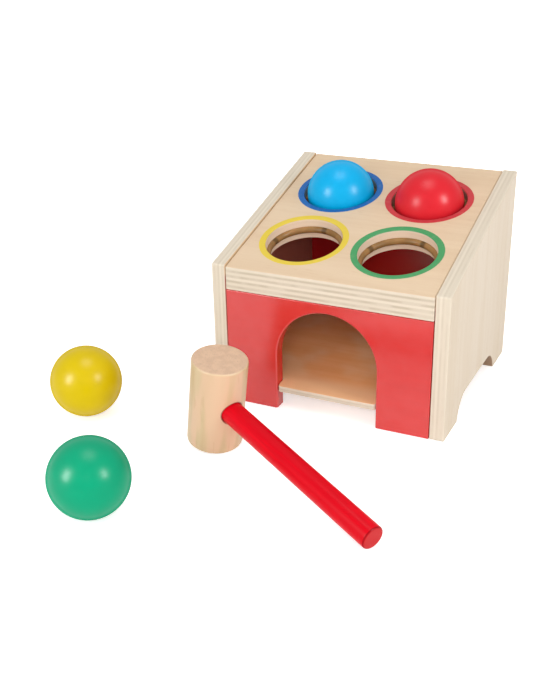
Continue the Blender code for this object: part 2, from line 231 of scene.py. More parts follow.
class HammerSizes(PropertyGroup):
    head_radius: length("Head radius", "Of the turned head", 0.0167)
    head_length: length("Head length", "Of the turned head", 0.0565)
    handle_radius: length("Handle radius", "Of the round handle", 0.0069)
    handle_reach: length("Handle reach", "From the head's axis to the handle's end", 0.1395)
    handle_beyond: length("Handle beyond", "Into the head past its axis", 0.009)
    ease: length("Ease", "On the ends' edges", 0.0012)
    bore_round: length("Bore round", "On the mouth of the handle's bore", 0.0006)
    toe: FloatVectorProperty(
        name="Toe",
        description="Where the head's toe meets the floor, from the middle of the box",
        default=(-0.0350, -0.1330),
        size=2,
        unit="LENGTH",
    )
    heading: angle("Heading", "Of the handle over the floor", -27.1)

    @property
    def tilt(self):
        rise = self.head_length / 2 - self.handle_radius
        return math.atan(rise / (self.handle_reach - self.head_radius))

    @property
    def place(self):
        """The head's own frame: Z up its axis from its foot, X along the handle."""
        lean, ease = self.tilt, self.ease
        along = Vector((math.cos(self.heading), math.sin(self.heading), 0))
        foot = BOX_MIDDLE + Vector((*self.toe, 0)) - along * self.head_radius * math.cos(lean)
        foot.z = ease + (self.head_radius - ease) * math.sin(lean) - ease * math.cos(lean)
        return Matrix.Translation(foot) @ Euler((0, lean, self.heading)).to_matrix().to_4x4()


class WoodColours(PropertyGroup):
    side_pale: colour("Side, pale", "The sides' veneer", (0.718, 0.612, 0.485))
    side_deep: colour("Side, deep", "The sides' darker figure", (0.682, 0.563, 0.424))
    side_lip: colour("Side, lip", "Its inner edge above the board", (0.66, 0.45, 0.27))
    # Painted shade: the sides' dark inner colour stands for the shade inside the box
    side_inside: colour("Side, inside", "The rougher veneer inside", (0.45, 0.18, 0.135))
    board_pale: colour("Board, pale", "The board's veneer", (0.77, 0.59, 0.405))
    board_deep: colour("Board, deep", "The board's darker figure", (0.72, 0.53, 0.35))
    edge_pale: colour("Edge, pale", "Light plies on a cut edge", (0.767, 0.68, 0.553))
    edge_deep: colour("Edge, deep", "Dark plies on a cut edge", (0.565, 0.475, 0.35))
    glue_line: colour("Glue line", "Between two plies", (0.36, 0.25, 0.15))
    floor_pale: colour("Floor, pale", "The floor's veneer", (0.95, 0.44, 0.19))
    floor_deep: colour("Floor, deep", "The floor's darker figure", (0.89, 0.38, 0.145))
    # Painted light: the floor's paler colour where light comes in through the arch and the holes
    floor_worn: colour("Floor, worn", "Where fingers rub the tongue", (0.95, 0.57, 0.31))
    head_pale: colour("Head, pale", "The hammer head's wood", (0.665, 0.505, 0.295))
    head_deep: colour("Head, deep", "Its darker streaks", (0.615, 0.42, 0.23))
    head_flush: colour("Head, flush", "Its pinker streaks", (0.74, 0.50, 0.32))
    end_grain: colour("End grain", "The hammer head's ends", (0.635, 0.42, 0.28))
    end_pale: colour("End grain, pale", "Paler clouds on the ends", (0.70, 0.475, 0.315))
    end_ray: colour("End grain, rays", "Short dark rays on the ends", (0.49, 0.335, 0.245))
    # Painted shade: the dark colour on the sawn edge between the feet stands for the shade in the
    # notch
    notch: colour("Notch", "The sawn edge between the feet", (0.36, 0.20, 0.11))
    # Painted shade: the dark ring round the handle stands for the contact shadow where it enters
    # the head
    bore: colour("Bore", "Glue and stain round the handle", (0.26, 0.012, 0.014))
    # Painted light: pale wood, painted paler still to stand for light on walls that lie in shade
    hole_wall: colour("Hole wall", "Inside the ball holes", (0.92, 0.71, 0.53))
    dowel: colour("Dowel", "The hidden dowels", (0.70, 0.52, 0.32))


class PaintColours(PropertyGroup):
    panel: colour("Panels", "The front and back panels", (0.64, 0.014, 0.011))
    # Painted shade: the panels' darker red inside stands for the shade inside the box
    panel_inside: colour("Panels, inside", "Their thinner paint inside", (0.44, 0.004, 0.008))
    handle: colour("Handle", "The hammer's handle", (0.765, 0.0, 0.010))
    handle_end: colour("Handle end", "Its duller end", (0.575, 0.020, 0.023))
    amber: colour("Rings", "The elastic rings", (0.38, 0.205, 0.073))
    yellow_ball: colour("Yellow ball", "Gloss lacquer", (0.678, 0.494, 0.0))
    green_ball: colour("Green ball", "Gloss lacquer", (0.0, 0.342, 0.170))
    blue_ball: colour("Blue ball", "Gloss lacquer", (0.0, 0.418, 0.79))
    red_ball: colour("Red ball", "Gloss lacquer", (0.705, 0.016, 0.027))
    yellow_ring: colour("Yellow ring", "Printed round its hole", (0.765, 0.57, 0.055))
    green_ring: colour("Green ring", "Printed round its hole", (0.062, 0.325, 0.115))
    blue_ring: colour("Blue ring", "Printed round its hole", (0.008, 0.13, 0.42))
    red_ring: colour("Red ring", "Printed round its hole", (0.58, 0.04, 0.05))


class StageSettings(PropertyGroup):
    camera_place: FloatVectorProperty(
        name="Camera",
        description="The camera's place, from the middle of the box",
        default=(0.21901, -0.58630, 0.30120),
        subtype="TRANSLATION",
    )
    azimuth: angle("Azimuth", "Of the camera round the box from its front", 25.886)
    elevation: angle("Elevation", "Of the camera above the floor", 24.403)
    roll: angle("Roll", "Of the camera about its view", -1.046)
    lens: FloatProperty(
        name="Lens", description="Focal length in millimetres", default=51.53, min=1
    )
    key_lamp: watts("Key lamp", "The tall soft box at the front", 1.5)
    fill_lamp: watts("Fill lamp", "The wide soft box beside the camera", 2.1)
    side_lamp: watts("Side lamp", "The soft box at the right", 1.9)
    top_lamp: watts("Top lamp", "The soft box overhead", 0.3)
    left_glint: watts("Left glint", "A light at the left that only gloss shows", 12)
    right_glint: watts("Right glint", "A light at the right that only gloss shows", 11.5)
    top_glint: watts("Top glint", "A light overhead that only gloss shows", 5)
    room: FloatProperty(
        name="Room light", description="Even light from the white room", default=0.72, min=0
    )
    floor: colour("Floor", "The pale studio floor", (0.9, 0.9, 0.9))


# Shapes


def verts_in(geom):
    return [item for item in geom if isinstance(item, bmesh.types.BMVert)]


def ends(edge):
    return [vert.co for vert in edge.verts]


def both_at(edge, axis, value):
    return all(abs(end[axis] - value) < TOUCH for end in ends(edge))


def line_to(bm, vert, point):
    """Draws a straight line from a vertex and returns its far end."""
    end = bmesh.ops.extrude_vert_indiv(bm, verts=[vert])["verts"][0]
    end.co = point
    return end


def chain(bm, points):
    """Draws straight lines from point to point, and returns the first and last vertex."""
    first = last = bm.verts.new(points[0])
    for point in points[1:]:
        last = line_to(bm, last, point)
    return first, last


def arc_to(bm, vert, centre, axis, turn, steps):
    """Draws an arc from a vertex and returns its far end."""
    swept = bmesh.ops.spin(bm, geom=[vert], cent=centre, axis=axis, angle=turn, steps=steps)
    return verts_in(swept["geom_last"])[0]


def fill(bm, last, first):
    """Closes a drawn outline with one face."""
    bm.edges.new((last, first))
    bmesh.ops.contextual_create(bm, geom=bm.edges[:])


def thicken(bm, along):
    """Extrudes every face along a vector into a closed plate."""
    swept = bmesh.ops.extrude_face_region(bm, geom=bm.faces[:])["geom"]
    bmesh.ops.translate(bm, verts=verts_in(swept), vec=along)
    bmesh.ops.recalc_face_normals(bm, faces=bm.faces)


def saw(bm, geom, point, normal, **cut):
    """Cuts through what is given along a plane."""
    return bmesh.ops.bisect_plane(
        bm, geom=geom, dist=SAW_FINE, plane_co=point, plane_no=normal, **cut
    )


def trim(bm, point, normal):
    """Saws off what lies beyond a plane and closes the cut."""
    saw(bm, bm.verts[:] + bm.edges[:] + bm.faces[:], point, normal, clear_outer=True)
    bmesh.ops.holes_fill(bm, edges=[edge for edge in bm.edges if edge.is_boundary], sides=0)
    bmesh.ops.recalc_face_normals(bm, faces=bm.faces)


def round_edges(bm, radius, segments, chosen=lambda edge: True):
    """Rounds the sharp edges for which chosen(edge) is true."""
    sharp = [edge for edge in bm.edges if edge.calc_face_angle(0) > SHARP and chosen(edge)]
    bmesh.ops.bevel(
        bm,
        geom=sharp,
        offset=radius,
        segments=segments,
        profile=0.5,
        affect="EDGES",
        material=-1,
        clamp_overlap=True,
    )


def add_rod(bm, radius, reach, segments, matrix):
    """A closed rod along Z, about the middle of its own frame."""
    size = {"radius1": radius, "radius2": radius, "depth": reach}
    bmesh.ops.create_cone(bm, cap_ends=True, segments=segments, matrix=matrix, **size)


def place(bm, matrix):
    bmesh.ops.transform(bm, matrix=matrix, verts=bm.verts)


def linked(name, bm):
    """A new object of the scene that takes over a bmesh."""
    mesh = bpy.data.meshes.new(name)
    bm.to_mesh(mesh)
    bm.free()
    obj = bpy.data.objects.new(name, mesh)
    bpy.context.scene.collection.objects.link(obj)
    return obj


def carved(bm, tool):
    """The first shape with the second cut out of it."""
    work, knife = linked("carving", bm), linked("knife", tool)
    cut = work.modifiers.new("Cut", "BOOLEAN")
    cut.operation = "DIFFERENCE"
    cut.solver = "EXACT"
    cut.object = knife
    result = bmesh.new()
    result.from_object(work, bpy.context.evaluated_depsgraph_get())
    for obj in (work, knife):
        mesh = obj.data
        bpy.data.objects.remove(obj)
        bpy.data.meshes.remove(mesh)
    if not result.faces:
        raise RuntimeError("the cut left nothing of the piece")
    return result


def dowel_holes(box):
    """Blind holes for all the dowels, where the frame has them."""
    bm = bmesh.new()
    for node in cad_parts:
        if node.startswith("dowel_"):
            low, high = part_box(node)
            across = Matrix.Translation((low + high) / 2) @ LYING
            add_rod(bm, box.dowel_radius + GAP, high.x - low.x + 2 * GAP, DOWEL_STEPS, across)
    return bm


def finished(name, bm, material, body, node):
    """A smooth piece of the object, which rides on its body and stands for its solid."""
    obj = linked(name, bm)
    obj.data.materials.append(material)
    obj.data.shade_smooth()
    obj.data.set_sharp_from_angle(angle=SHARP)
    weighted = obj.modifiers.new("Flat faces stay flat", "WEIGHTED_NORMAL")
    weighted.keep_sharp = True
    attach(obj, body)
    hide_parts(node)


# Shader nodes


SOCKETS = {Vector: "NodeSocketVector", float: "NodeSocketFloat"}
MEASURES = ("DOT_PRODUCT", "DISTANCE", "LENGTH")


class Nodes:
    """Adds nodes to a tree. A value given to an input is a number, a colour or a socket."""

    def __init__(self, tree):
        self.tree = tree
        tree.nodes.clear()

    def feed(self, socket, value):
        if isinstance(value, bpy.types.NodeSocket):
            self.tree.links.new(value, socket)
        elif socket.type == "RGBA" and len(value) == 3:
            socket.default_value = (*value, 1)
        else:
            socket.default_value = value

    def add(self, kind, inputs=(), **settings):
        node = self.tree.nodes.new("ShaderNode" + kind)
        for name, value in settings.items():
            setattr(node, name, value)
        for key, value in dict(inputs).items():
            self.feed(node.inputs[key], value)
        return node

    def math(self, operation, first, second=0.0, third=0.0):
        inputs = {0: first, 1: second, 2: third}
        return self.add("Math", inputs, operation=operation).outputs[0]

    def times(self, first, second):
        return self.math("MULTIPLY", first, second)

    def vector(self, operation, first, second=(0, 0, 0), third=(0, 0, 0)):
        inputs = {0: first, 1: second, 2: third}
        node = self.add("VectorMath", inputs, operation=operation)
        return node.outputs["Value" if operation in MEASURES else "Vector"]

    def parts(self, vector):
        return self.add("SeparateXYZ", {0: vector}).outputs

    def noise(self, vector, scale, detail=2.0, roughness=0.5):
        inputs = {"Vector": vector, "Scale": scale, "Detail": detail, "Roughness": roughness}
        return self.add("TexNoise", inputs).outputs[0]

    def between(self, value, low, high, start=0.0, end=1.0):
        """Runs smoothly from start to end as the value goes from low to high."""
        inputs = {"Value": value, 1: low, 2: high, 3: start, 4: end}
        return self.add("MapRange", inputs, interpolation_type="SMOOTHSTEP").outputs[0]

    def mix(self, factor, first, second, share=1.0, blend="MIX"):
        """The first colour, covered by the second as far as a share of the factor says."""
        if share != 1.0:
            factor = self.times(factor, share)
        node = self.add("Mix", data_type="RGBA", blend_type=blend)
        for index, value in ((0, factor), (6, first), (7, second)):
            self.feed(node.inputs[index], value)
        return node.outputs[2]

    def local(self, matrix=None):
        """Object coordinates, in a piece's own frame if its matrix is given."""
        own = self.add("TexCoord").outputs["Object"]
        if matrix is None:
            return own
        turned = {"Location": matrix.to_translation(), "Rotation": matrix.to_euler()}
        return self.add("Mapping", {"Vector": own, **turned}, vector_type="TEXTURE").outputs[0]

    def swap(self, vector, order):
        """The vector with its parts in another order, such as XZY."""
        parts = self.parts(vector)
        inputs = {index: parts[name] for index, name in enumerate(order)}
        return self.add("CombineXYZ", inputs).outputs[0]

    def effect(self, build, **inputs):
        """One of the shared effects, built on its first use."""
        group = bpy.data.node_groups.get(build.__name__) or effect_tree(build)
        node = self.add("Group", node_tree=group)
        for name, value in inputs.items():
            self.feed(node.inputs[name.capitalize()], value)
        return node.outputs


def effect_tree(build):
    """A node group whose inputs are an effect's arguments, and whose outputs it returns."""
    tree = bpy.data.node_groups.new(build.__name__, "ShaderNodeTree")
    n = Nodes(tree)
    names = {name.capitalize(): kind for name, kind in build.__annotations__.items()}
    for name, kind in names.items():
        tree.interface.new_socket(name, in_out="INPUT", socket_type=SOCKETS[kind])
    given = tree.nodes.new("NodeGroupInput").outputs
    results = build(n, *[given[name] for name in names])
    for name in results:
        tree.interface.new_socket(name, in_out="OUTPUT", socket_type=SOCKETS[float])
    outputs = tree.nodes.new("NodeGroupOutput").inputs
    for name, value in results.items():
        n.feed(outputs[name], value)
    return tree


def wood_grain(n, vector: Vector, streak: float, seed: float):
    """Figure, flecks and fibres of wood whose grain runs along Y."""
    moved = n.vector("MULTIPLY_ADD", (13.7, 7.3, 3.1), seed, vector)
    drawn = n.vector("MULTIPLY", moved, (1, 0.05, 1))
    wander = n.vector("SUBTRACT", n.noise(drawn, 30).node.outputs["Color"], (0.5, 0.5, 0.5))
    bent = n.vector("MULTIPLY_ADD", wander, (0.012, 0.012, 0.012), drawn)
    fine = n.math("DIVIDE", 1.0, streak)
    broad = n.noise(bent, n.times(fine, 0.22), 3)
    streaks = n.noise(bent, fine, 4, 0.6)
    fibre = n.noise(bent, n.times(fine, 6.0), 2)
    figure = n.math("MULTIPLY_ADD", broad, 0.5, n.times(streaks, 0.38))
    figure = n.math("MULTIPLY_ADD", fibre, 0.12, figure)
    pores = n.noise(n.vector("MULTIPLY", moved, (1, 0.16, 1)), n.times(fine, 2.6), 1)
    return {
        "Figure": n.between(figure, 0.34, 0.66),
        "Fleck": n.between(pores, 0.66, 0.76),
        "Height": n.math("MULTIPLY_ADD", streaks, 0.6, n.times(fibre, 0.4)),
    }


def ply_layers(n, vector: Vector, depth: float, ply: float):
    """The plies of plywood, by the depth below its face."""
    waver = n.math("MULTIPLY_ADD", n.noise(vector, 55, 3), 0.0004, -0.0002)
    count = n.math("DIVIDE", n.math("ADD", depth, waver), ply)
    wave = n.math("SINE", n.times(count, math.pi))
    tone = n.add("TexWhiteNoise", {"W": n.math("FLOOR", count)}, noise_dimensions="1D")
    apart = n.vector("ADD", vector, tone.outputs["Color"])
    patchy = n.between(n.noise(apart, 70, 3), 0.35, 0.62, 0.4, 1.0)
    return {
        "Cross": n.times(n.between(wave, -0.15, -0.7), patchy),
        "Glue": n.between(n.math("ABSOLUTE", wave), 0.22, 0.02),
        "Tone": tone.outputs[0],
    }


def eased_edge(n, axis: Vector):
    """How far a rounded edge has turned from a face along an axis: 1 on the face, 0 beside it."""
    normal = n.add("NewGeometry").outputs["Normal"]
    facing = n.math("ABSOLUTE", n.vector("DOT_PRODUCT", normal, axis))
    return {
        "Face": n.between(facing, 0.55, 0.97),
        "Edge": n.times(n.between(facing, 0.05, 0.5), n.between(facing, 0.995, 0.7)),
    }


def inner_face(n, vector: Vector, axis: Vector):
    """1 on the faces that look into the box, and 0 on those that look out of it."""
    facing = n.vector("DOT_PRODUCT", n.add("NewGeometry").outputs["Normal"], axis)
    along = n.vector("DOT_PRODUCT", vector, axis)
    return {"Mask": n.between(n.times(facing, along), -0.01, -0.04)}


def lacquer_skin(n, vector: Vector):
    """Uneven colour, dull patches and the fine ripple of sprayed lacquer."""
    long_wave, short_wave = n.noise(vector, 160, 1), n.noise(vector, 900, 1)
    return {
        "Mottle": n.between(n.noise(vector, 90, 3), 0.3, 0.7),
        "Dull": n.between(n.noise(vector, 38, 4), 0.3, 0.7),
        "Ripple": n.math("MULTIPLY_ADD", short_wave, 0.25, long_wave),
    }


def printed_ring(n, vector: Vector, centre: Vector, radius: float):
    """A ring of print round one hole, with a slightly ragged edge."""
    reach = n.vector("DISTANCE", n.vector("MULTIPLY", vector, (1, 1, 0)), centre)
    ragged = n.math("MULTIPLY_ADD", n.noise(vector, 700, 2), 0.0003, -0.00015)
    over = n.math("SUBTRACT", n.math("ADD", reach, ragged), radius)
    return {"Mask": n.between(over, 0.0001, -0.0001)}


# Materials


def darker(paint, share):
    return [part * share for part in paint]


def new_material(name, **settings):
    """A material with its shader, whose plain settings are set on its own sockets."""
    material = bpy.data.materials.new(name)
    material.use_nodes = True
    nodes = Nodes(material.node_tree)
    shader = nodes.add("BsdfPrincipled")
    nodes.add("OutputMaterial", {0: shader.outputs[0]})
    for key, value in settings.items():
        nodes.feed(shader.inputs[key.replace("_", " ")], value)
    return material, nodes, shader.inputs


def surface(n, shader, shade, rough, bump):
    """Feeds a shader its colour, its roughness and its bumps.

    Roughness is a base, a gain and the gain's mask. Bumps are a height, a depth and a strength.
    """
    base, gain, mask = rough
    height, depth, strength = bump
    n.feed(shader["Base Color"], shade)
    n.feed(shader["Roughness"], n.math("MULTIPLY_ADD", mask, gain, base))
    inputs = {"Height": height, "Distance": depth, "Strength": strength}
    n.feed(shader["Normal"], n.add("Bump", inputs).outputs[0])


def plywood(kind, own, finish, outer=None):
    """The plate lies on its face, or stands upright at both ends of a width if outer is half of it.
    """
    material, n, shader = new_material(f"{kind} plywood", Specular_IOR_Level=0.15)
    woods = bpy.context.scene.pounding_woods
    pale, deep = getattr(woods, f"{kind}_pale"), getattr(woods, f"{kind}_deep")
    plies, contrast, seed = PLYWOOD[kind]
    thickness = getattr(bpy.context.scene.pounding_box, f"{kind}_thickness")
    vector = n.local(own)
    parts = n.parts(vector)
    if outer:
        axis, order = X_AXIS, "YZX"
        depth = n.math("SUBTRACT", outer, n.math("ABSOLUTE", parts[0]))
    else:
        axis, order = own.to_3x3() @ Z_AXIS, "YXZ"
        depth = n.times(parts[2], -1.0)
    grain = n.effect(wood_grain, vector=n.swap(vector, order), streak=0.0035, seed=seed)
    face = n.mix(grain["Figure"], deep, pale)
    face = n.mix(grain["Fleck"], face, deep, 0.16, "MULTIPLY")
    ply = n.effect(ply_layers, vector=vector, depth=depth, ply=thickness / plies)
    sawn = n.noise(vector, 1400, 2)
    tone = n.math("MULTIPLY_ADD", ply["Tone"], 0.35, n.times(sawn, 0.3))
    layers = n.mix(ply["Cross"], woods.edge_pale, woods.edge_deep, contrast)
    layers = n.mix(tone, layers, woods.edge_deep, 0.5)
    layers = n.mix(ply["Glue"], layers, woods.glue_line, 0.45 * contrast)
    edge = n.effect(eased_edge, axis=axis)
    shade = finish(n, vector, depth, edge, n.mix(edge["Face"], layers, face))
    base = n.math("MULTIPLY_ADD", grain["Figure"], -0.08, 0.60)
    bump = (grain["Height"], 0.00006, 0.6)
    surface(n, shader, shade, rough=(base, -0.06, edge["Face"]), bump=bump)
    return material


def satin_paint(name, paint, inner_shade):
    """Satin paint that lets the plywood's level grain show through a little."""
    material, n, shader = new_material(name, Specular_IOR_Level=0.75)
    vector = n.local()
    skin = n.effect(lacquer_skin, vector=vector)
    grain = n.effect(wood_grain, vector=n.swap(vector, "ZXY"), streak=0.003, seed=4.0)
    lightening = n.effect(eased_edge, axis=Y_AXIS)
    inside = n.effect(inner_face, vector=n.local(BOX_PLACE), axis=Y_AXIS)
    chalky = [min(1, part + 0.03) for part in paint]
    lightened = [part + (1 - part) * 0.10 for part in paint]
    shade = n.mix(grain["Figure"], paint, darker(paint, 0.88), 0.5)
    shade = n.mix(skin["Mottle"], shade, chalky, 0.25)
    shade = n.mix(lightening["Edge"], shade, lightened, 0.3)
    # Painted shade on the faces that look into the box
    shade = n.mix(inside["Mask"], shade, inner_shade)
    height = n.math("MULTIPLY_ADD", grain["Height"], 0.7, n.times(skin["Ripple"], 0.3))
    # Rougher than 0.27, the denoiser would outline the dull patches
    surface(n, shader, shade, rough=(0.20, 0.06, skin["Dull"]), bump=(height, 0.00008, 0.5))
    return material


def gloss_lacquer(name, paint):
    """Thick gloss lacquer on turned wood, with softer glints towards a ball's outline."""
    material, n, shader = new_material(name, Specular_IOR_Level=0.14)
    skin = n.effect(lacquer_skin, vector=n.local())
    shade = n.mix(skin["Mottle"], paint, darker(paint, 0.93), 0.6)
    facing = n.add("LayerWeight", {"Blend": 0.5}).outputs["Facing"]
    base = n.between(facing, 0.55, 0.85, 0.28, 0.78)
    bump = (skin["Ripple"], 0.00002, 0.2)
    surface(n, shader, shade, rough=(base, 0.06, skin["Dull"]), bump=bump)
    return material


def handle_lacquer(name, paints, hammer):
    """Thinner gloss lacquer: streaky along the handle, dull on its end, with painted shade round
    the rim.
    """
    material, n, shader = new_material(name, Specular_IOR_Level=0.07)
    vector = n.local(hammer.place)
    skin = n.effect(lacquer_skin, vector=vector)
    grain = n.effect(wood_grain, vector=n.swap(vector, "YXZ"), streak=0.0022, seed=7.0)
    edge = n.effect(eased_edge, axis=hammer.place.to_3x3() @ X_AXIS)
    streaks = n.between(grain["Figure"], 0.25, 0.95, 0.4, 0.0)
    shade = n.mix(streaks, paints.handle, darker(paints.handle, 0.62))
    shade = n.mix(edge["Face"], shade, paints.handle_end)
    # Painted shade on the rounded rim between the handle's end and its body
    shade = n.mix(edge["Edge"], shade, darker(paints.handle, 0.4), 0.9)
    bump = (skin["Ripple"], 0.00002, 0.2)
    surface(n, shader, shade, rough=(0.28, 0.05, skin["Dull"]), bump=bump)
    return material


def turned_wood(name, woods, hammer):
    """The head's hardwood: streaks up its side, rays on its ends, and a painted shadow round its
    bore.
    """
    material, n, shader = new_material(name, Specular_IOR_Level=0.3)
    vector = n.local(hammer.place)
    grain = n.effect(wood_grain, vector=n.swap(vector, "XZY"), streak=0.006, seed=9.0)
    side = n.mix(grain["Figure"], woods.head_deep, woods.head_pale)
    broad = n.noise(n.vector("MULTIPLY", vector, (1, 1, 0.15)), 110, 2)
    side = n.mix(n.between(broad, 0.4, 0.62), side, woods.head_flush)
    side = n.mix(grain["Fleck"], side, woods.head_deep, 0.12, "MULTIPLY")

    from_pith = n.vector("SUBTRACT", vector, PITH)
    parts = n.parts(from_pith)
    around = n.times(n.math("ARCTAN2", parts[1], parts[0]), RAYS_ROUND)
    reach = n.vector("LENGTH", n.vector("MULTIPLY", from_pith, (1, 1, 0)))
    polar = n.add("CombineXYZ", {0: around, 1: n.times(reach, RAYS_OUT)}).outputs[0]
    rays = n.between(n.noise(polar, 1, 1), 0.55, 0.72)
    cloud = n.between(n.noise(vector, 210, 3), 0.35, 0.65)
    ends_wood = n.mix(cloud, woods.end_grain, woods.end_pale)
    ends_wood = n.mix(rays, ends_wood, woods.end_ray, 0.55)
    edge = n.effect(eased_edge, axis=hammer.place.to_3x3() @ Z_AXIS)
    shade = n.mix(edge["Face"], side, ends_wood)
    shade = n.mix(edge["Edge"], shade, woods.head_pale, 0.5)

    # Painted shadow round the mouth of the bore, on the handle's side of the head
    from_handle = n.vector("SUBTRACT", vector, (0, 0, hammer.head_length / 2))
    off_axis = n.vector("LENGTH", n.vector("MULTIPLY", from_handle, (0, 1, 1)))
    past = n.math("SUBTRACT", off_axis, hammer.handle_radius)
    mouth = n.between(n.parts(vector)[0], 0.0, 0.004, 0.0, 0.85)
    bore_shade_mask = n.times(n.between(past, BORE_SHADE_EDGE, BORE_SHADE_CORE), mouth)
    shade = n.mix(bore_shade_mask, shade, woods.bore)
    bump = (grain["Height"], 0.00005, 0.5)
    surface(n, shader, shade, rough=(0.36, 0.16, edge["Face"]), bump=bump)
    return material


def amber_rubber(name, amber, own):
    """Translucent rubber in a ring's own frame, clouded unevenly, and darker at four spots round
    it.
    """
    material, n, shader = new_material(
        name, Specular_IOR_Level=0.12, Subsurface_Weight=0.25, Subsurface_Scale=0.002
    )
    vector = n.local()
    skin = n.effect(lacquer_skin, vector=vector)
    cloud = n.between(n.noise(vector, 75, 2), 0.42, 0.62)
    shade = n.mix(cloud, darker(amber, 0.7), amber)
    shade = n.mix(skin["Mottle"], shade, amber, 0.3)
    parts = n.parts(n.local(own))
    aside = n.math("MINIMUM", n.math("ABSOLUTE", parts[0]), n.math("ABSOLUTE", parts[1]))
    shade = n.mix(n.between(aside, SPOT_EDGE, SPOT_CORE, 0.0, 0.85), shade, darker(amber, 0.3))
    bump = (skin["Ripple"], 0.00003, 0.4)
    surface(n, shader, shade, rough=(0.28, 0.15, skin["Dull"]), bump=bump)
    return material


def dowel_wood(name, wood):
    """Bare hardwood with its grain along the dowel."""
    material, n, shader = new_material(name, Specular_IOR_Level=0.4)
    grain = n.effect(wood_grain, vector=n.swap(n.local(), "YXZ"), streak=0.001, seed=6.0)
    shade = n.mix(grain["Figure"], darker(wood, 0.8), wood)
    bump = (grain["Height"], 0.00005, 0.5)
    surface(n, shader, shade, rough=(0.7, -0.1, grain["Figure"]), bump=bump)
    return material


# Operators


class Undoable:
    """What all the operators share."""

    bl_options = {"REGISTER", "UNDO"}


class POUND_OT_side_panels(Undoable, Operator):
    """Make the two plywood sides, with their feet and the floor's grooves"""

    bl_idname = "pounding_cube.side_panels"
    bl_label = "Side panels"

    def execute(self, context):
        box, woods = context.scene.pounding_box, context.scene.pounding_woods

        def finish(n, vector, depth, edge, shade):
            """Painted shade inside the box below the board and on the sawn notch, and the lip above
            the board.
            """
            inside = n.effect(inner_face, vector=vector, axis=X_AXIS)
            # Painted shade inside the box, below the board; the lip above the board keeps its paler
            # colour
            under = n.between(n.parts(n.local(box.board_place))[2], LIP_END, INSIDE_START)
            veneer = n.mix(under, woods.side_lip, woods.side_inside)
            shade = n.mix(inside["Mask"], shade, veneer)
            return n.mix(self.in_notch(n, vector, edge, box), shade, woods.notch)

        wood = plywood("side", BOX_PLACE, finish, outer=box.width / 2)
        for name, hand in (("left", -1), ("right", 1)):
            tool = dowel_holes(box)
            self.add_groove(tool, box)
            bm = carved(self.plate(box, hand), tool)
            finished(f"side_{name}", bm, wood, "box", f"{name}_side_panel")
        return {"FINISHED"}

    def in_notch(self, n, vector, edge, box):
        """A mask for the painted shade on the sawn edge between the feet."""
        parts = n.parts(vector)
        foot = box.depth / 2 - box.foot_length
        along = n.between(n.math("ABSOLUTE", parts[1]), foot + GAP, foot - GAP)
        low = n.between(parts[2], box.notch_height + 2 * GAP, box.notch_height + GAP)
        sawn = n.between(edge["Face"], 0.4, 0.0, 0.0, 0.8)
        return n.times(sawn, n.times(along, low))

    def plate(self, box, hand):
        """A sloping top, and two feet with a round-ended notch between them."""
        inner, front, back = hand * box.inside_half, -box.depth / 2, box.depth / 2
        outer = hand * box.width / 2
        middle = box.notch_height - box.notch_radius
        start = math.asin(-middle / box.notch_radius)
        reach, turn = box.notch_radius * math.cos(start), start - math.pi / 2
        near, far = front + box.foot_length, back - box.foot_length
        bm = bmesh.new()
        first, vert = chain(bm, [(inner, front, 0), (inner, near, 0)])
        vert = arc_to(bm, vert, (inner, near + reach, middle), X_AXIS, turn, ARC_STEPS)
        vert = line_to(bm, vert, (inner, far - reach, box.notch_height))
        vert = arc_to(bm, vert, (inner, far - reach, middle), X_AXIS, turn, ARC_STEPS)
        for y, z in ((back, 0), (back, box.back_height), (front, box.front_height)):
            vert = line_to(bm, vert, (inner, y, z))
        fill(bm, vert, first)
        thicken(bm, (hand * box.side_thickness, 0, 0))

        def on_inner(edge):
            return both_at(edge, 0, inner)

        def on_outer(edge):
            return both_at(edge, 0, outer)

        def on_corner(edge):
            return not on_inner(edge) and not on_outer(edge)

        round_edges(bm, box.corner_round, SANDED, on_corner)
        round_edges(bm, box.outer_round, SANDED, on_outer)
        round_edges(bm, box.fine_round, FINE, on_inner)
        place(bm, BOX_PLACE)
        return bm

    def add_groove(self, tool, box):
        """The slot for the floor's edges, a little larger than the floor."""
        rise = math.cos(box.floor_slope)
        start = box.panel_thickness / rise
        end = (box.depth - box.panel_thickness) / rise
        wide, high = 2 * (box.inside_half + box.groove_depth), box.floor_thickness + 2 * GAP
        middle = Matrix.Translation((0, (start + end) / 2, -box.floor_thickness / 2))
        scale = Matrix.Diagonal((wide, end - start, high, 1))
        bmesh.ops.create_cube(tool, size=1, matrix=box.floor_place @ middle @ scale)


